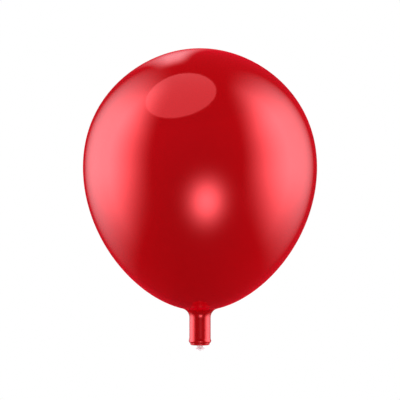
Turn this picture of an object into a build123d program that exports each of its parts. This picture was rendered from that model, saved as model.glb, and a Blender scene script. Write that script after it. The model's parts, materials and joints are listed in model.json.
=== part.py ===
from build123d import *
import math
import os

# Party balloon, blown up and closed by a stopper with a small valve. Millimetres, +Z up.
# The origin is on the balloon's axis, halfway up the neck, where the neck is held or tied.

# ---- driving dimensions --------------------------------------------------------------
body_diameter = 280.0       # widest part of the blown-up body
skin_wall = 0.5
neck_radius = 12.7          # outside of the neck
neck_length = 25.0          # straight part, half above the origin and half below
shoulder_radius = 9.3       # sweep from the neck out into the body
rim_radius = 13.4           # rolled rim at the mouth
rim_height = 6.6
rim_swell = 0.64            # share of the rim's height over which it swells, from the top

stopper_clearance = 0.07    # between the stopper's ribs and the neck, all round
stopper_height = 20.0
stopper_wall = 2.2
stopper_floor = 5.0         # solid end of the stopper, below its hollow
stopper_chamfer = 0.8
boss_wall = 2.4             # round the valve, inside the hollow
rib_count = 3
rib_pitch = 5.4
rib_half_height = 1.1
rib_depth = 0.55            # how far the ribs stand out of the stopper's side
first_rib_height = 2.2      # above the rim's bottom
lip_radius = 11.7           # end of the stopper that shows below the rim
lip_rounding = 2.1
lip_height = 2.8
groove_depth = 0.35         # step round the top of the lip

tube_radius = 3.5           # valve body, which passes through the stopper
nozzle_length = 5.75        # below the stopper's end face
flange_radius = 5.2
flange_wall = 1.7           # straight part of the flange's edge
flange_taper = 0.8          # from the flange up to the tube
flange_chamfer = 0.3
nozzle_bore = 1.8
chamber_bore = 2.6
seat_depth = 12.0           # valve seat above the stopper's end face
tube_rise = 4.0             # tube above the stopper

cage_wall = 1.2
cage_top_wall = 1.4
cage_chamfer = 0.4
air_slot_count = 4
air_slot_radius = 0.5
air_slot_circle = 2.1       # radius at which the slots stand

stem_clearance = 0.08
seal_thickness = 1.0
seal_overhang = 0.15        # washer's edge beyond the valve head
seat_gap = 0.02
head_radius = 2.2
head_thickness = 1.2
guide_stem_radius = 0.9
guide_stem_rise = 0.4       # stem above the cage
core_radius = 0.8           # middle of the finned stem
fin_thickness = 0.7
fin_top_gap = 0.4           # fins end this far below the seat
tip_radius = 1.2
tip_end_radius = 0.35
tip_shank = 3.0             # round part of the stem above the nozzle's end
tip_base_drop = 0.1         # straight part of the tip below the nozzle
tip_stand_out = 0.95        # pointed end of the stem below the nozzle

spring_wire = 0.36
spring_turns = 7
spring_coil_radius = 1.55
spring_end_gap = 0.02       # at each end, to the head and to the cage

# ---- heights that follow from them ---------------------------------------------------
neck_top = neck_length / 2
rim_top = -neck_length / 2
rim_bottom = rim_top - rim_height
end_face = rim_bottom - lip_height                # flat end of the stopper
stopper_top = end_face + stopper_height
nozzle_end = end_face - nozzle_length
seat = end_face + seat_depth
tube_top = stopper_top + tube_rise
cage_underside = tube_top
cage_top = cage_underside + cage_top_wall
head_bottom = seat + seat_gap + seal_thickness
head_top = head_bottom + head_thickness
neck_bore = neck_radius - skin_wall

# ---- body outline --------------------------------------------------------------------
# The body is an egg: an ellipse turned about Z whose radius is swelled towards the crown.
# The terms multiply rising powers of u = cos(angle from the crown), as shares of the diameter.
egg_terms = (0.4977, 0.0491, -0.0118, -0.0032, -0.0200)
body_half_height = 0.5603 * body_diameter
outline_points = 26


def egg_point(angle, centre_z=0.0):
    """Point (r, z) of the body's outside at an angle measured from the crown."""
    u = math.cos(angle)
    share = sum(term * u**power for power, term in enumerate(egg_terms))
    return body_diameter * share * math.sin(angle), centre_z + body_half_height * u


def egg_normal(angle):
    """Outward unit normal (r, z) there."""
    step = 1e-5
    r0, z0 = egg_point(angle - step)
    r1, z1 = egg_point(angle + step)
    length = math.hypot(r1 - r0, z1 - z0)
    return -(z1 - z0) / length, (r1 - r0) / length


def shoulder_angle():
    """Angle at which the shoulder's arc, tangent to the neck, also touches the body."""
    low, high = 0.75 * math.pi, 0.995 * math.pi
    for _ in range(60):
        middle = (low + high) / 2
        reach = egg_point(middle)[0] + shoulder_radius * egg_normal(middle)[0]
        if reach > neck_radius + shoulder_radius:
            low = middle
        else:
            high = middle
    return (low + high) / 2


joining_angle = shoulder_angle()
centre_z = neck_top - egg_point(joining_angle)[1] - shoulder_radius * egg_normal(joining_angle)[1]


def body_outline(inset):
    """Points from the crown down to the shoulder, set in from the outside by inset."""
    points = []
    for i in range(outline_points):
        angle = joining_angle * i / (outline_points - 1)
        r, z = egg_point(angle, centre_z)
        nr, nz = (0.0, 1.0) if i == 0 else egg_normal(angle)
        points.append((r - inset * nr, z - inset * nz))
    return points


def turned(profile):
    """Solid of revolution about Z from a closed profile in the XZ plane."""
    return revolve(Plane.XZ * make_face(profile), axis=Axis.Z)


def rod(radius, bottom, top):
    """Plain cylinder on the Z axis."""
    on_its_end = (Align.CENTER, Align.CENTER, Align.MIN)
    return Pos(0, 0, bottom) * Cylinder(radius, top - bottom, align=on_its_end)


def ring(outer, inner, bottom, top):
    """Plain tube or washer on the Z axis."""
    return rod(outer, bottom, top) - rod(inner, bottom, top)


# ---- sub-parts -----------------------------------------------------------------------
def balloon_skin():
    """One dipped rubber skin: egg-shaped body, shoulder, straight neck and rolled rim."""
    outer, inner = body_outline(0.0), body_outline(skin_wall)
    nr, nz = egg_normal(joining_angle)
    downhill = (nz, -nr)    # along the outline, from the crown towards the neck
    arc_angle = math.degrees(math.atan2(-nz, -nr))
    centre = (neck_radius + shoulder_radius, neck_top)
    rim_middle = rim_top - rim_swell * rim_height
    crown = Line(inner[0], outer[0])
    outside = Spline(outer, tangents=[(1, 0), downhill])
    shoulder = CenterArc(centre, shoulder_radius, arc_angle, 180 - arc_angle)
    neck = Line((neck_radius, neck_top), (neck_radius, rim_top))
    swell_ends = [(neck_radius, rim_top), (rim_radius, rim_middle)]
    swell = Spline(swell_ends, tangents=[(0, -1), (0, -1)])
    roll = TangentArc([(rim_radius, rim_middle), (neck_bore, rim_bottom)], tangent=(0, -1))
    bore = Line((neck_bore, rim_bottom), (neck_bore, neck_top))
    inner_shoulder = CenterArc(centre, shoulder_radius + skin_wall, 180, arc_angle - 180)
    inside = Spline(inner[::-1], tangents=[(-nz, nr), (-1, 0)])
    return turned([crown, outside, shoulder, neck, swell, roll, bore, inner_shoulder, inside])


def neck_stopper():
    """Rubber stopper: ribbed sides, hollow top, a boss round the valve and a rounded lip."""
    rib_radius = neck_bore - stopper_clearance
    root_radius = rib_radius - rib_depth
    inner_radius = root_radius - stopper_wall
    boss_radius = tube_radius + boss_wall
    groove_radius = lip_radius - groove_depth
    floor = end_face + stopper_floor
    lip_top = end_face + lip_rounding
    groove = lip_top + groove_depth
    side_bottom = groove + groove_depth
    edges = [
        Line((tube_radius, end_face), (lip_radius - lip_rounding, end_face)),
        CenterArc((lip_radius - lip_rounding, lip_top), lip_rounding, -90, 90),
        Line((lip_radius, lip_top), (groove_radius, groove)),
        Line((groove_radius, groove), (root_radius, side_bottom)),
    ]
    z = side_bottom
    for rib in range(rib_count):
        middle = rim_bottom + first_rib_height + rib_pitch * rib
        bottom, top = middle - rib_half_height, middle + rib_half_height
        edges.append(Line((root_radius, z), (root_radius, bottom)))
        edges.append(ThreePointArc((root_radius, bottom), (rib_radius, middle), (root_radius, top)))
        z = top
    chamfer_radius = root_radius - stopper_chamfer
    edges += [
        Line((root_radius, z), (root_radius, stopper_top - stopper_chamfer)),
        Line((root_radius, stopper_top - stopper_chamfer), (chamfer_radius, stopper_top)),
        Line((chamfer_radius, stopper_top), (inner_radius, stopper_top)),
        Line((inner_radius, stopper_top), (inner_radius, floor)),
        Line((inner_radius, floor), (boss_radius, floor)),
        Line((boss_radius, floor), (boss_radius, stopper_top)),
        Line((boss_radius, stopper_top), (tube_radius, stopper_top)),
        Line((tube_radius, stopper_top), (tube_radius, end_face)),
    ]
    return turned(edges)


def valve_body():
    """Plastic tube with a flanged nozzle below the stopper and a seat inside."""
    flange_bottom = nozzle_end + flange_chamfer
    flange_top = flange_bottom + flange_wall
    outline = Polyline(
        (nozzle_bore + flange_chamfer, nozzle_end),
        (flange_radius - flange_chamfer, nozzle_end),
        (flange_radius, flange_bottom),
        (flange_radius, flange_top),
        (tube_radius, flange_top + flange_taper),
        (tube_radius, tube_top),
        (chamber_bore, tube_top),
        (chamber_bore, seat),
        (nozzle_bore, seat),
        (nozzle_bore, flange_bottom),
        close=True,
    )
    return turned(outline)


def valve_cage():
    """Cap on top of the tube: guides the stem, backs the spring and lets the air through."""
    cage_radius = tube_radius + cage_wall
    skirt = ring(cage_radius, tube_radius, stopper_top, cage_underside)
    top = ring(cage_radius, guide_stem_radius + stem_clearance, cage_underside, cage_top)
    slot = Pos(air_slot_circle, 0, 0) * rod(air_slot_radius, cage_underside, cage_top)
    cage = skirt + top
    for i in range(air_slot_count):
        cage -= Rot(0, 0, 360 / air_slot_count * i) * slot
    top_edge = cage.edges().group_by(Axis.Z)[-1].sort_by(SortBy.RADIUS)[-1]
    return chamfer(top_edge, cage_chamfer)


def valve_poppet():
    """Valve head on a stem: cross-shaped in the nozzle, round in the cage, pointed at its end."""
    fin_reach = nozzle_bore - stem_clearance
    fin_top = seat - fin_top_gap
    fin_bottom = nozzle_end + tip_shank
    fin_height = fin_top - fin_bottom
    tip_base = nozzle_end - tip_base_drop
    poppet = rod(head_radius, head_bottom, head_top)
    poppet += rod(guide_stem_radius, head_top, cage_top + guide_stem_rise)
    poppet += rod(tip_radius, fin_top, head_bottom)
    poppet += rod(core_radius, fin_bottom, fin_top)
    one_way = Box(2 * fin_reach, fin_thickness, fin_height)
    other_way = Box(fin_thickness, 2 * fin_reach, fin_height)
    fins = Pos(0, 0, fin_bottom + fin_height / 2) * (one_way + other_way)
    poppet += fins & rod(fin_reach, fin_bottom, fin_top)
    poppet += rod(tip_radius, tip_base, fin_bottom)
    hanging = (Align.CENTER, Align.CENTER, Align.MAX)
    point = Cone(tip_end_radius, tip_radius, tip_stand_out - tip_base_drop, align=hanging)
    return poppet + Pos(0, 0, tip_base) * point


def valve_seal():
    """Rubber washer under the valve head, which closes on the seat."""
    return ring(head_radius + seal_overhang, tip_radius, seat + seat_gap, head_bottom)


def valve_spring():
    """Light coil spring between the valve head and the cage."""
    bottom = head_top + spring_end_gap + spring_wire / 2
    height = cage_underside - spring_end_gap - spring_wire / 2 - bottom
    path = Pos(0, 0, bottom) * Helix(height / spring_turns, height, spring_coil_radius)
    section = Plane(path @ 0, z_dir=path % 0) * Circle(spring_wire / 2)
    return sweep(section, path=path, is_frenet=True)


# ---- files ---------------------------------------------------------------------------
sub_parts = {
    "balloon_skin": balloon_skin,
    "neck_stopper": neck_stopper,
    "valve_body": valve_body,
    "valve_cage": valve_cage,
    "valve_poppet": valve_poppet,
    "valve_seal": valve_seal,
    "valve_spring": valve_spring,
}

os.makedirs("parts", exist_ok=True)
for name, build_sub_part in sub_parts.items():
    shape = build_sub_part()
    shape.label = name
    export_step(shape, f"parts/{name}.step")
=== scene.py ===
import json
import math

import bmesh
import bpy
from mathutils import Matrix, Vector


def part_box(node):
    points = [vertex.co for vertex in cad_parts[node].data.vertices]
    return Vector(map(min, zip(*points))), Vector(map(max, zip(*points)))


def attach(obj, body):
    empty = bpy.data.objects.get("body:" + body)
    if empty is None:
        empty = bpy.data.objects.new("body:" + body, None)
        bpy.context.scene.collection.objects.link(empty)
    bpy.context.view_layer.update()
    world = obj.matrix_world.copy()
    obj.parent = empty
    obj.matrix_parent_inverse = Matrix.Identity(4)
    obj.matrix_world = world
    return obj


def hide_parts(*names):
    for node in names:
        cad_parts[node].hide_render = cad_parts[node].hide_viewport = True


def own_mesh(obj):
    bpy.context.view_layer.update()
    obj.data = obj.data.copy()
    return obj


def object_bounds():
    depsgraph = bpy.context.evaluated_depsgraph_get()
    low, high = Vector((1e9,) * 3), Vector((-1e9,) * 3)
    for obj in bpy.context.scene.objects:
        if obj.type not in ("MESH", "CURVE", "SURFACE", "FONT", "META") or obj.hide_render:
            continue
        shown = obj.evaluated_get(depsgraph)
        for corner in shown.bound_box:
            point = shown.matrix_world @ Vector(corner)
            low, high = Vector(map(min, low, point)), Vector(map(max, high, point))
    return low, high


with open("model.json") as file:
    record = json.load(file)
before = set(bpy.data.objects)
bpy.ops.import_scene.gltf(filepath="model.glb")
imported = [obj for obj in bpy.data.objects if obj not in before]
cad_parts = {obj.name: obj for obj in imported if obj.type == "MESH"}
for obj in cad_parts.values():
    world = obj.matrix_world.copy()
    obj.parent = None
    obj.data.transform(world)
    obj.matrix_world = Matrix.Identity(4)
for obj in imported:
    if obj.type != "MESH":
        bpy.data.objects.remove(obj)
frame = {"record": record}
cad_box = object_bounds()

MM = 0.001
TINY = 1e-7


# ---- sizes read from the frame -------------------------------------------------------
def mount(name):
    return next(m for m in frame["record"]["mounts"] if m["name"] == name)


# each node's box; the numbers below that aren't read from the frame repeat part.py's
skin_low, skin_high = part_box("balloon_skin")
stopper_low, stopper_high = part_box("neck_stopper")
tube_low, tube_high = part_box("valve_body")
cage_low, cage_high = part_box("valve_cage")
poppet_low, poppet_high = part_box("valve_poppet")
seal_low, seal_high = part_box("valve_seal")
spring_low, spring_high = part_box("valve_spring")

neck_radius = mount("neck_grip")["dims"]["r_mm"] * MM
neck_half = mount("neck_grip")["dims"]["length_mm"] * MM / 2
body_diameter = skin_high[0] - skin_low[0]
height_share = 0.5603
body_half_height = height_share * body_diameter
body_centre = skin_high[2] - body_half_height
skin_wall = 0.5 * MM
shoulder_radius = 11.0 * MM  # the CAD's is 9.3, so this sweep is up to 0.7 mm fuller
rim_radius = 13.4 * MM
rim_bottom = skin_low[2]
rim_height = -neck_half - rim_bottom
rim_swell = 0.64
rim_middle = -neck_half - rim_swell * rim_height

tube_radius = 3.5 * MM
nozzle_bore = 1.8 * MM
chamber_bore = 2.6 * MM
stem_clearance = 0.08 * MM
tip_radius = 1.2 * MM
guide_stem_radius = 0.9 * MM
core_radius = 0.8 * MM
head_radius = 2.2 * MM
head_thickness = 1.2 * MM
head_bottom = seal_high[2]
head_top = head_bottom + head_thickness
seat_gap = 0.02 * MM
seat = seal_low[2] - seat_gap
fit_gap = 0.01 * MM

# the egg's radius: these terms multiply rising powers of cos(angle from the crown)
EGG_TERMS = (0.4977, 0.0491, -0.0118, -0.0032, -0.0200)


# ---- mesh helpers --------------------------------------------------------------------
def link(obj):
    bpy.context.scene.collection.objects.link(obj)
    return obj


def new_object(name, mesh, sharp_angle=35):
    """Smooth-shaded object; edges that turn by more than sharp_angle degrees stay sharp."""
    mesh.shade_smooth()
    mesh.set_sharp_from_angle(angle=math.radians(sharp_angle))
    return link(bpy.data.objects.new(name, mesh))


def lathe(name, profile, segments, shape=None, sharp_angle=35):
    """Turned mesh from a closed (r, z) profile; shape(angle, r, z) may vary it round the axis."""
    bm = bmesh.new()
    rings = []
    for r, z in profile:
        if r < TINY:
            rings.append([bm.verts.new((0, 0, z))])
            continue
        ring = []
        for i in range(segments):
            angle = 2 * math.pi * i / segments
            ri, zi = shape(angle, r, z) if shape else (r, z)
            ring.append(bm.verts.new((ri * math.cos(angle), ri * math.sin(angle), zi)))
        rings.append(ring)
    for a, b in zip(rings, rings[1:] + rings[:1]):
        if len(a) == 1 and len(b) == 1:
            continue
        for i in range(segments):
            j = (i + 1) % segments
            corners = [a[i % len(a)], b[i % len(b)], b[j % len(b)], a[j % len(a)]]
            bm.faces.new(list(dict.fromkeys(corners)))
    bmesh.ops.recalc_face_normals(bm, faces=bm.faces)
    mesh = bpy.data.meshes.new(name)
    bm.to_mesh(mesh)
    bm.free()
    return new_object(name, mesh, sharp_angle)


def arc(centre, radius, start, end, steps):
    """Points (r, z) of an arc, angles in degrees from +r towards +z."""
    points = []
    for i in range(steps + 1):
        angle = math.radians(start + (end - start) * i / steps)
        points.append((centre[0] + radius * math.cos(angle), centre[1] + radius * math.sin(angle)))
    return points


def smooth(t):
    t = min(max(t, 0.0), 1.0)
    return t * t * (3 - 2 * t)


def rounded(corners, steps=6):
    """Closed (r, z) profile from corners (r, z, rounding radius)."""
    points = []
    for i, (r, z, radius) in enumerate(corners):
        corner = Vector((r, z))
        if radius == 0:
            points.append((r, z))
            continue
        before = (Vector(corners[i - 1][:2]) - corner).normalized()
        after = (Vector(corners[(i + 1) % len(corners)][:2]) - corner).normalized()
        half = before.angle(after) / 2
        centre = corner + (before + after).normalized() * radius / math.sin(half)
        start = corner + before * radius / math.tan(half) - centre
        end = corner + after * radius / math.tan(half) - centre
        sweep = start.angle(end)
        for step in range(steps + 1):
            t = step / steps
            spoke = (start * math.sin((1 - t) * sweep) + end * math.sin(t * sweep)) / math.sin(sweep)
            points.append(tuple(centre + spoke))
    return points


def combined(name, base, others, operation, sharp_angle=35):
    """One closed mesh from a base and other meshes, united or cut out."""
    for other in others:
        change = base.modifiers.new(operation, "BOOLEAN")
        change.operation = operation
        change.solver = "EXACT"
        change.object = other
    bpy.context.view_layer.update()
    mesh = bpy.data.meshes.new_from_object(base.evaluated_get(bpy.context.evaluated_depsgraph_get()))
    mesh.name = name
    mesh.materials.clear()
    for used in (base, *others):
        bpy.data.objects.remove(used)
    return new_object(name, mesh, sharp_angle)


def dress(piece, node, body, finish):
    """The piece stands for a CAD node, rides on its body and gets its material."""
    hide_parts(node)
    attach(piece, body)
    piece.data.materials.append(finish)


# ---- balloon skin --------------------------------------------------------------------
def egg_point(angle):
    u = math.cos(angle)
    share = sum(term * u**power for power, term in enumerate(EGG_TERMS))
    return body_diameter * share * math.sin(angle), body_centre + body_half_height * u


def egg_normal(angle):
    step = 1e-5
    r0, z0 = egg_point(angle - step)
    r1, z1 = egg_point(angle + step)
    length = math.hypot(r1 - r0, z1 - z0)
    return (z0 - z1) / length, (r1 - r0) / length


def joining_angle():
    """Where the shoulder's arc, tangent to the neck, leaves the body."""
    low, high = 0.75 * math.pi, 0.995 * math.pi
    halvings = 50
    for _ in range(halvings):
        middle = (low + high) / 2
        reach = egg_point(middle)[0] + shoulder_radius * egg_normal(middle)[0]
        low, high = (middle, high) if reach > neck_radius + shoulder_radius else (low, middle)
    return (low + high) / 2


def skin_outline(inset, rings, arc_steps):
    """Crown to the foot of the shoulder, set in from the outside."""
    last = joining_angle()
    points = []
    for i in range(rings + 1):
        angle = last * i / rings
        (r, z), (nr, nz) = egg_point(angle), egg_normal(angle)
        points.append((0.0, z - inset) if i == 0 else (r - inset * nr, z - inset * nz))
    nr, nz = egg_normal(last)
    start = math.degrees(math.atan2(-nz, -nr)) % 360
    foot = egg_point(last)[1] + shoulder_radius * egg_normal(last)[1]
    centre = (neck_radius + shoulder_radius, foot)
    return points + arc(centre, shoulder_radius + inset, start, 180, arc_steps)[1:]


def rolled_rim(angle, r, z):
    """The rim swells from higher up on its -X side, as a rim rolled by hand does."""
    unevenness = 0.9 * MM
    start = -neck_half - unevenness * (1 + math.cos(angle))
    if r < neck_radius - TINY or z > -neck_half or z < rim_middle:
        return r, z
    swell = smooth((start - z) / (start - rim_middle))
    return neck_radius + (rim_radius - neck_radius) * swell, z


def make_skin():
    neck_steps, swell_steps, roll_steps = 12, 14, 12
    outside = skin_outline(0.0, rings=150, arc_steps=14)
    neck_step = 2 * neck_half / neck_steps
    neck = [(neck_radius, neck_half - neck_step * (i + 1)) for i in range(neck_steps)]
    swell_step = (rim_middle + neck_half) / swell_steps
    swell = [(neck_radius, -neck_half + swell_step * (i + 1)) for i in range(swell_steps)]
    bore = neck_radius - skin_wall
    drop = rim_middle - rim_bottom
    reach = rim_radius - bore
    roll_radius = (reach**2 + drop**2) / (2 * reach)
    turn = -math.degrees(math.asin(drop / roll_radius))
    roll = arc((rim_radius - roll_radius, rim_middle), roll_radius, 0, turn, roll_steps)[1:]
    inside = skin_outline(skin_wall, rings=60, arc_steps=8)[::-1]
    profile = outside + neck + swell + roll + inside
    skin = lathe("balloon_skin_mesh", profile, segments=192, shape=rolled_rim, sharp_angle=60)
    dress(skin, "balloon_skin", "balloon", red_latex())


# ---- stopper and valve ---------------------------------------------------------------
def make_stopper():
    """Ribbed sides, a hollow with a boss round the valve, and a rounded lip at the end."""
    end_face, top = stopper_low[2], stopper_high[2]
    rib_radius = stopper_high[0]
    rib_depth, rib_half_height, rib_pitch, first_rib = 0.55 * MM, 1.1 * MM, 5.4 * MM, 2.2 * MM
    wall, boss_wall, end_thickness = 2.2 * MM, 2.4 * MM, 5.0 * MM
    root_radius = rib_radius - rib_depth
    inner_radius = root_radius - wall
    boss_radius = tube_radius + boss_wall
    hole_radius = tube_radius + fit_gap
    floor = end_face + end_thickness
    lip_radius, lip_rounding, groove_depth = 11.7 * MM, 2.1 * MM, 0.35 * MM
    groove_radius = lip_radius - groove_depth
    lip_top = end_face + lip_rounding
    groove = lip_top + groove_depth
    lip = arc((lip_radius - lip_rounding, lip_top), lip_rounding, -90, 0, 16)
    lip_corners = [(r, z, 0) for r, z in lip]
    groove_corners = [(groove_radius, groove, 0.15 * MM), (root_radius, groove + groove_depth, 0)]
    ribs = []
    arc_radius = (rib_half_height**2 + rib_depth**2) / (2 * rib_depth)
    spread = math.degrees(math.asin(rib_half_height / arc_radius))
    for i in range(3):
        rib_z = rim_bottom + first_rib + rib_pitch * i
        ribs += arc((rib_radius - arc_radius, rib_z), arc_radius, -spread, spread, 10)
    hollow = [
        (root_radius, top, 0.8 * MM),
        (inner_radius, top, 0.4 * MM),
        (inner_radius, floor, 0.8 * MM),
        (boss_radius, floor, 0.8 * MM),
        (boss_radius, top, 0.4 * MM),
        (hole_radius, top, 0.2 * MM),
        (hole_radius, end_face, 0.3 * MM),
    ]
    corners = lip_corners + groove_corners + [(r, z, 0) for r, z in ribs] + hollow
    stopper = lathe("neck_stopper_mesh", rounded(corners), segments=144)
    dress(stopper, "neck_stopper", "stopper", red_rubber())


def moulding_line(angle, r, z):
    """Fine raised line on two opposite sides, where the two halves of a mould met."""
    if r < tube_radius - TINY or z > stopper_low[2]:
        return r, z
    first_side, half_width, line_height = 0.6, 0.05, 0.05 * MM
    sides = (first_side, first_side + math.pi)
    off = min(abs(math.remainder(angle - side, 2 * math.pi)) for side in sides)
    return r + line_height * smooth(1 - off / half_width), z


def make_valve_body():
    """Tube with a flanged nozzle at its end and the valve's seat inside."""
    nozzle_end, tube_top = tube_low[2], tube_high[2]
    room_for_line = 0.05 * MM
    flange_radius = mount("inflation_nozzle")["dims"]["r_mm"] * MM - room_for_line
    flange_top = nozzle_end + 2.0 * MM
    flange_taper = 0.8 * MM
    corners = [
        (nozzle_bore, nozzle_end, 0.3 * MM),
        (flange_radius, nozzle_end, 0.4 * MM),
        (flange_radius, flange_top, 0.4 * MM),
        (tube_radius, flange_top + flange_taper, 0.7 * MM),
        (tube_radius, tube_top, 0.2 * MM),
        (chamber_bore, tube_top, 0.2 * MM),
        (chamber_bore, seat, 0.2 * MM),
        (nozzle_bore, seat, 0.15 * MM),
    ]
    body = lathe("valve_body_mesh", rounded(corners), segments=160, shape=moulding_line, sharp_angle=60)
    dress(body, "valve_body", "stopper", milky_plastic_with_painted_light("milky_nozzle_plastic", 5.0))


def make_cage():
    """Cap pressed on the tube: it guides the stem and lets the air out through four slots."""
    bottom, top = cage_low[2], cage_high[2]
    outer, inner = cage_high[0], tube_radius + fit_gap
    underside = tube_high[2]
    guide = guide_stem_radius + stem_clearance
    corners = [
        (outer, bottom, 0.25 * MM),
        (outer, top, 0.5 * MM),
        (guide, top, 0.2 * MM),
        (guide, underside, 0.2 * MM),
        (inner, underside, 0.05 * MM),
        (inner, bottom, 0.15 * MM),
    ]
    cap = lathe("cap", rounded(corners), segments=96)
    slot_count, slot_radius, slot_circle = 4, 0.5 * MM, 2.1 * MM
    low, high = underside - MM, top + MM
    hole = [(0, low), (slot_radius, low), (slot_radius, high), (0, high)]
    slots = []
    for i in range(slot_count):
        angle = 2 * math.pi / slot_count * i
        slot = lathe(f"air_slot_{i}", hole, segments=32)
        slot.location = (slot_circle * math.cos(angle), slot_circle * math.sin(angle), 0)
        slots.append(slot)
    cage = combined("valve_cage_mesh", cap, slots, "DIFFERENCE")
    dress(cage, "valve_cage", "stopper", milky_plastic_with_painted_light("milky_cage_plastic", 7.0))


def make_poppet():
    """Valve head on a stem: finned in the nozzle, round in the cage, pointed at its lower end."""
    nozzle_end = tube_low[2]
    fin_bottom, fin_top = nozzle_end + 3.0 * MM, seat - 0.4 * MM
    tip_base, point_radius = nozzle_end - 0.1 * MM, 0.4 * MM
    corners = [
        (0, poppet_low[2], 0),
        (point_radius, poppet_low[2], 0.15 * MM),
        (tip_radius, tip_base, 0.3 * MM),
        (tip_radius, fin_bottom, 0.15 * MM),
        (core_radius, fin_bottom, 0.1 * MM),
        (core_radius, fin_top, 0.1 * MM),
        (tip_radius, fin_top, 0.15 * MM),
        (tip_radius, head_bottom, 0.1 * MM),
        (head_radius, head_bottom, 0.15 * MM),
        (head_radius, head_top, 0.25 * MM),
        (guide_stem_radius, head_top, 0.2 * MM),
        (guide_stem_radius, poppet_high[2], 0.3 * MM),
        (0, poppet_high[2], 0),
    ]
    stem = lathe("stem", rounded(corners), segments=64)
    reach, half_thickness, edge_rounding = nozzle_bore - stem_clearance, 0.35 * MM, 0.12 * MM
    fins = []
    for i in range(2):
        bm = bmesh.new()
        bmesh.ops.create_cube(bm, size=1.0)
        size = (2 * reach, 2 * half_thickness, fin_top - fin_bottom)
        bmesh.ops.scale(bm, vec=size, verts=bm.verts)
        bmesh.ops.bevel(bm, geom=bm.edges, offset=edge_rounding, segments=3, affect="EDGES")
        mesh = bpy.data.meshes.new(f"fin_{i}")
        bm.to_mesh(mesh)
        bm.free()
        fin = new_object(f"fin_{i}", mesh)
        fin.location.z = (fin_bottom + fin_top) / 2
        fin.rotation_euler.z = math.pi / 2 * i
        fins.append(fin)
    poppet = combined("valve_poppet_mesh", stem, fins, "UNION")
    dress(poppet, "valve_poppet", "poppet", stem_plastic())


def make_seal():
    """Soft washer under the valve head."""
    inner = tip_radius + fit_gap
    corners = [
        (inner, seal_low[2], 0.15 * MM),
        (seal_high[0], seal_low[2], 0.3 * MM),
        (seal_high[0], seal_high[2], 0.3 * MM),
        (inner, seal_high[2], 0.15 * MM),
    ]
    seal = lathe("valve_seal_mesh", rounded(corners), segments=96)
    dress(seal, "valve_seal", "poppet", seal_rubber())


def make_spring():
    """Coil spring whose end turns lie close; the real one shortens as the valve is pushed in, but this mesh
    keeps its length.
    """
    wire = 0.18 * MM
    turns, steps, sides = 7, 40, 14
    coil = spring_high[0] - wire
    bottom, top = spring_low[2] + wire, spring_high[2] - wire
    count = turns * steps
    close_pitch = 2.2 * wire
    close = close_pitch / (top - bottom)

    def rise(turn):
        """Share of the height reached after so many turns; the first and last are close-wound."""
        if turn < 1:
            return close * turn
        if turn > turns - 1:
            return 1 - close * (turns - turn)
        return close + (1 - 2 * close) * (turn - 1) / (turns - 2)

    bm = bmesh.new()
    rings = []
    for i in range(count + 1):
        angle = 2 * math.pi * i / steps
        out = Vector((math.cos(angle), math.sin(angle), 0))
        along = Vector((-math.sin(angle), math.cos(angle), 0)) * coil * 2 * math.pi / steps
        climb = (rise(min(i + 1, count) / steps) - rise(max(i - 1, 0) / steps)) / 2
        side = (along + Vector((0, 0, climb * (top - bottom)))).normalized().cross(out)
        middle = out * coil + Vector((0, 0, bottom + rise(i / steps) * (top - bottom)))
        ring = []
        for j in range(sides):
            a = 2 * math.pi * j / sides
            ring.append(bm.verts.new(middle + wire * (out * math.cos(a) + side * math.sin(a))))
        rings.append(ring)
    for a, b in zip(rings, rings[1:]):
        for j in range(sides):
            k = (j + 1) % sides
            bm.faces.new((a[j], a[k], b[k], b[j]))
    bm.faces.new(rings[0][::-1])
    bm.faces.new(rings[-1])
    bmesh.ops.recalc_face_normals(bm, faces=bm.faces)
    mesh = bpy.data.meshes.new("valve_spring_mesh")
    bm.to_mesh(mesh)
    bm.free()
    spring = new_object("valve_spring_mesh", mesh)
    dress(spring, "valve_spring", "stopper", spring_steel())
    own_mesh(spring)


# ---- materials -----------------------------------------------------------------------
def material(name):
    made = bpy.data.materials.new(name)
    made.use_nodes = True
    tree = made.node_tree
    return made, tree, tree.nodes["Principled BSDF"]


def set_inputs(node, **values):
    for name, value in values.items():
        node.inputs[name.replace("_", " ")].default_value = value


def noise(tree, scale, detail=2.0, roughness=0.5):
    coordinates = tree.nodes.new("ShaderNodeTexCoord")
    made = tree.nodes.new("ShaderNodeTexNoise")
    made.inputs["Scale"].default_value = scale
    made.inputs["Detail"].default_value = detail
    made.inputs["Roughness"].default_value = roughness
    tree.links.new(coordinates.outputs["Object"], made.inputs["Vector"])
    return made.outputs["Fac"]


def map_range(tree, value, low, high, to_low, to_high, kind="LINEAR"):
    made = tree.nodes.new("ShaderNodeMapRange")
    made.interpolation_type = kind
    made.clamp = True
    for name, number in (("From Min", low), ("From Max", high), ("To Min", to_low), ("To Max", to_high)):
        made.inputs[name].default_value = number
    tree.links.new(value, made.inputs["Value"])
    return made.outputs["Result"]


def mix_colour(tree, factor, a, b):
    made = tree.nodes.new("ShaderNodeMix")
    made.data_type = "RGBA"
    for socket, value in (("A", a), ("B", b)):
        slot = next(i for i in made.inputs if i.name == socket and i.type == "RGBA")
        if isinstance(value, tuple):
            slot.default_value = (*value, 1)
        else:
            tree.links.new(value, slot)
    tree.links.new(factor, made.inputs["Factor"])
    return next(o for o in made.outputs if o.type == "RGBA")


def bump(tree, height, distance, strength=1.0):
    made = tree.nodes.new("ShaderNodeBump")
    made.inputs["Distance"].default_value = distance
    made.inputs["Strength"].default_value = strength
    tree.links.new(height, made.inputs["Height"])
    return made.outputs["Normal"]


def height_above_origin(tree):
    coordinates = tree.nodes.new("ShaderNodeTexCoord")
    split = tree.nodes.new("ShaderNodeSeparateXYZ")
    tree.links.new(coordinates.outputs["Object"], split.inputs["Vector"])
    return split.outputs["Z"]


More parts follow.
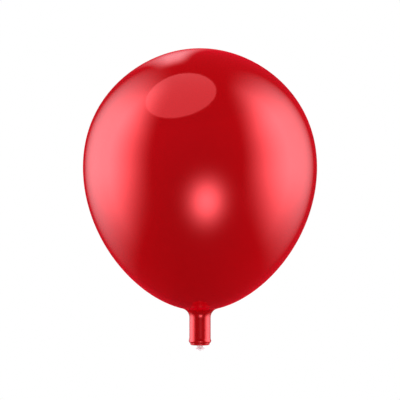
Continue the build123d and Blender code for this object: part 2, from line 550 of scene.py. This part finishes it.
def red_latex():
    """Pearly: partly a red metal, with a red sheen at its edges, and deeper red at the thick neck."""
    made, tree, shader = material("pearl_red_latex")
    mottle = map_range(tree, noise(tree, 9.0, 3.0), 0.3, 0.7, 0.0, 1.0)
    stretched = mix_colour(tree, mottle, (0.583, 0.0, 0.0022), (0.602, 0.0004, 0.0036))
    thick_below, thin_above = 12 * MM, 30 * MM
    height = height_above_origin(tree)
    thick = map_range(tree, height, thick_below, thin_above, 1.0, 0.0, "SMOOTHSTEP")
    colour = mix_colour(tree, thick, stretched, (0.56, 0.0, 0.002))
    tree.links.new(colour, shader.inputs["Base Color"])
    roughness = map_range(tree, noise(tree, 14.0, 2.0), 0.3, 0.7, 0.055, 0.075)
    tree.links.new(roughness, shader.inputs["Roughness"])
    set_inputs(shader, Metallic=0.31, IOR=1.5, Specular_IOR_Level=0.51)
    set_inputs(shader, Sheen_Weight=1.0, Sheen_Roughness=0.3, Sheen_Tint=(1, 0, 0.02, 1))
    peel = bump(tree, noise(tree, 420.0, 2.0), 0.004 * MM)
    tree.links.new(peel, shader.inputs["Normal"])
    return made


def speckle(tree, scale, low, high, detail=3.0):
    """Fine noise stretched to the range low to high."""
    return map_range(tree, noise(tree, scale, detail), 0.32, 0.68, low, high)


def grained(name, tones, tone_scale, roughness, roughness_scale, grain, grain_scale, grain_detail=2.0):
    """Material whose colour, roughness and surface each vary a little, at a scale of their own."""
    made, tree, shader = material(name)
    colour = mix_colour(tree, speckle(tree, tone_scale, 0, 1), *tones)
    tree.links.new(colour, shader.inputs["Base Color"])
    tree.links.new(speckle(tree, roughness_scale, *roughness), shader.inputs["Roughness"])
    tree.links.new(bump(tree, noise(tree, grain_scale, grain_detail), grain), shader.inputs["Normal"])
    return made, shader


def red_rubber():
    """Softer and duller than the blown-up latex, with a faint moulded grain."""
    made, shader = grained(
        "moulded_red_rubber",
        tones=((0.55, 0.0, 0.0015), (0.60, 0.001, 0.003)),
        tone_scale=260.0,
        roughness=(0.16, 0.26),
        roughness_scale=700.0,
        grain=0.01 * MM,
        grain_scale=2500.0,
        grain_detail=3.0,
    )
    set_inputs(shader, Metallic=0.25, IOR=1.5)
    set_inputs(shader, Sheen_Weight=0.9, Sheen_Roughness=0.35, Sheen_Tint=(1, 0, 0.02, 1))
    return made


def milky_plastic_with_painted_light(name, fineness):
    """Cloudy translucent polythene; its pinkish tone is painted bounce light from the red rubber, and a
    faint glow is painted on too.
    """
    made, shader = grained(
        name,
        # pinkish tones: painted bounce light from the red rubber
        tones=((0.99, 0.86, 0.865), (1.0, 0.90, 0.90)),
        tone_scale=90.0 * fineness,
        roughness=(0.3, 0.42),
        roughness_scale=150.0 * fineness,
        grain=0.008 * MM,
        grain_scale=1800.0,
    )
    set_inputs(shader, IOR=1.5, Specular_IOR_Level=0.35, Transmission_Weight=0.12)
    # painted glow: a faint pinkish emission standing in for light scattered through the cloudy wall
    set_inputs(shader, Emission_Color=(1, 0.66, 0.68, 1), Emission_Strength=0.065)
    return made


def stem_plastic():
    """Opaque greyish nylon with a satin skin."""
    made, shader = grained(
        "satin_stem_nylon",
        tones=((0.78, 0.58, 0.59), (0.84, 0.66, 0.665)),
        tone_scale=500.0,
        roughness=(0.35, 0.5),
        roughness_scale=900.0,
        grain=0.008 * MM,
        grain_scale=2600.0,
    )
    set_inputs(shader, IOR=1.5)
    return made


def seal_rubber():
    """Matt black nitrile."""
    made, _ = grained(
        "black_seal_rubber",
        tones=((0.018, 0.018, 0.02), (0.035, 0.034, 0.034)),
        tone_scale=1200.0,
        roughness=(0.6, 0.8),
        roughness_scale=1500.0,
        grain=0.01 * MM,
        grain_scale=4000.0,
        grain_detail=3.0,
    )
    return made


def spring_steel():
    """Drawn steel wire with fine marks and a little tarnish."""
    made, shader = grained(
        "drawn_spring_steel",
        tones=((0.50, 0.49, 0.47), (0.64, 0.63, 0.62)),
        tone_scale=800.0,
        roughness=(0.22, 0.38),
        roughness_scale=2200.0,
        grain=0.003 * MM,
        grain_scale=6000.0,
    )
    set_inputs(shader, Metallic=1.0)
    return made


# ---- light, floor, camera ------------------------------------------------------------
def make_world():
    """Studio: white to the camera and through clear parts, even light for matt ones, soft boxes in gloss."""
    world = bpy.data.worlds.new("studio")
    bpy.context.scene.world = world
    world.use_nodes = True
    tree = world.node_tree
    nodes, links = tree.nodes, tree.links
    nodes.clear()
    direction = nodes.new("ShaderNodeTexCoord").outputs["Generated"]

    def math_node(kind, a, b=None):
        made = nodes.new("ShaderNodeMath")
        made.operation = kind
        for socket, value in zip(made.inputs, (a, b)):
            if isinstance(value, (int, float)):
                socket.default_value = value
            elif value is not None:
                links.new(value, socket)
        return made.outputs[0]

    def along(axis):
        made = nodes.new("ShaderNodeVectorMath")
        made.operation = "DOT_PRODUCT"
        links.new(direction, made.inputs[0])
        made.inputs[1].default_value = axis
        return made.outputs["Value"]

    def pointing(azimuth, elevation):
        """Direction in degrees: 0 is towards the camera, 90 to its right."""
        a, e = math.radians(azimuth), math.radians(elevation)
        return Vector((math.sin(a) * math.cos(e), -math.cos(a) * math.cos(e), math.sin(e)))

    def edge(value, dark, bright, kind="SMOOTHSTEP"):
        return map_range(tree, value, math.radians(dark), math.radians(bright), 0.0, 1.0, kind)

    def product(*factors):
        made = factors[0]
        for factor in factors[1:]:
            made = math_node("MULTIPLY", made, factor)
        return made

    def soft_box(middle, lean, right, left, low, high, radiance):
        """Long soft box; each edge is (dark, bright), in degrees from the middle of the box."""
        centre = pointing(*middle)
        level = Vector((-centre.y, centre.x, 0)).normalized()
        upright = centre.cross(level)
        turned = Matrix.Rotation(math.radians(lean), 3, centre)
        across, length = turned @ level, turned @ upright
        turn = math_node("ARCTAN2", along(across), along(centre))
        rise = math_node("ARCTAN2", along(length), along(centre))
        falling = 1.15
        fade = math_node("POWER", edge(turn, *left, "LINEAR"), falling)
        return product(edge(turn, *right), fade, edge(rise, *low), edge(rise, *high), radiance)

    def off_angle(azimuth, elevation):
        return math_node("ARCCOSINE", along(pointing(azimuth, elevation)))

    def disc(azimuth, elevation, radius, radiance):
        """Round light with a crisp rim."""
        rim = 0.35
        return product(edge(off_angle(azimuth, elevation), radius + rim, radius - rim), radiance)

    def glow(azimuth, elevation, spread, radiance):
        """Round light that fades like a bell curve; spread is its standard deviation in degrees."""
        squared = math_node("POWER", off_angle(azimuth, elevation), 2.0)
        fall = product(squared, -0.5 / math.radians(spread) ** 2)
        return product(math_node("POWER", math.e, fall), radiance)

    side_low, side_high, side_radiance = (-47, 1.5), (74, 28), 4.9
    left_side = soft_box((-100, 0), 0, (54, 3), (-58, 0), side_low, side_high, side_radiance)
    right_side = soft_box((98, 0), 0, (-58, -8), (52, -1), side_low, side_high, side_radiance)
    strip_behind = soft_box((-170, 34), -19, (-8.5, -2), (8, 1.5), (-26, 8), (27, 11), 1.5)
    round_above = disc(-50.2, 70.2, 27.1, 1.05)
    low_in_front = glow(7, -27, 10, 5.2)
    dim_behind, dim_in_front = 0.025, 0.09
    facing = along(pointing(0, 10))
    total = map_range(tree, facing, -0.8, 0.6, dim_behind, dim_in_front)
    for light in (left_side, right_side, strip_behind, round_above, low_in_front):
        total = math_node("ADD", light, total)
    path = nodes.new("ShaderNodeLightPath")

    def background(colour, strength):
        made = nodes.new("ShaderNodeBackground")
        made.inputs["Color"].default_value = (*colour, 1)
        made.inputs["Strength"].default_value = strength
        return made

    gloss = background(colour=(1.0, 1.0, 1.1), strength=1.0)
    links.new(total, gloss.inputs["Strength"])
    matt = background(colour=(1, 1, 1), strength=0.67)
    white = background(colour=(1, 1, 1), strength=1.0)

    def switch(factor, a, b):
        made = nodes.new("ShaderNodeMixShader")
        links.new(factor, made.inputs[0])
        links.new(a, made.inputs[1])
        links.new(b, made.inputs[2])
        return made.outputs[0]

    lit = switch(path.outputs["Is Diffuse Ray"], gloss.outputs[0], matt.outputs[0])
    through = switch(path.outputs["Is Transmission Ray"], lit, white.outputs[0])
    seen = switch(path.outputs["Is Camera Ray"], through, white.outputs[0])
    output = nodes.new("ShaderNodeOutputWorld")
    links.new(seen, output.inputs["Surface"])


def make_floor():
    """Pale floor out of the photograph's view, clear from below."""
    drop = 0.45
    bpy.ops.mesh.primitive_circle_add(vertices=128, radius=3.0, fill_type="NGON")
    floor = bpy.context.object
    floor.name = "floor"
    floor.location.z = cad_box[0][2] - drop
    made, tree, shader = material("pale_floor")
    set_inputs(shader, Base_Color=(0.86, 0.86, 0.86, 1), Roughness=0.8)
    from_below = tree.nodes.new("ShaderNodeNewGeometry").outputs["Backfacing"]
    clear = tree.nodes.new("ShaderNodeBsdfTransparent")
    one_sided = tree.nodes.new("ShaderNodeMixShader")
    tree.links.new(from_below, one_sided.inputs[0])
    tree.links.new(shader.outputs[0], one_sided.inputs[1])
    tree.links.new(clear.outputs[0], one_sided.inputs[2])
    tree.links.new(one_sided.outputs[0], tree.nodes["Material Output"].inputs["Surface"])
    floor.data.materials.append(made)
    floor.visible_glossy = False


def make_lights():
    """Weak overhead lamp that only matt surfaces and the floor show."""
    data = bpy.data.lights.new("overhead", "AREA")
    data.shape = "DISK"
    data.size = 1.6
    data.energy = 8
    lamp = link(bpy.data.objects.new("overhead", data))
    lamp.location = (-0.3, -0.5, 2.2)
    aim = Vector((0, 0, 0.15)) - lamp.location
    lamp.rotation_euler = aim.to_track_quat("-Z", "Y").to_euler()
    lamp.visible_glossy = False
    lamp.visible_camera = False


def make_camera():
    """Long lens, level with the middle of the balloon, so the view is nearly without perspective."""
    data = bpy.data.cameras.new("camera")
    data.lens = 210
    data.sensor_width = 36
    # the view is 1.7 balloons wide
    view_widths, eye_height = 1.7094, 151.7 * MM
    frame_width = view_widths * body_diameter
    camera = link(bpy.data.objects.new("camera", data))
    distance = frame_width * data.lens / data.sensor_width
    camera.location = (0, -distance, eye_height)
    camera.rotation_euler = (math.pi / 2, 0, 0)
    bpy.context.scene.camera = camera


bpy.context.scene.view_settings.view_transform = "Standard"
make_world()
make_floor()
make_lights()
make_camera()
make_skin()
make_stopper()
make_valve_body()
make_cage()
make_poppet()
make_seal()
make_spring()
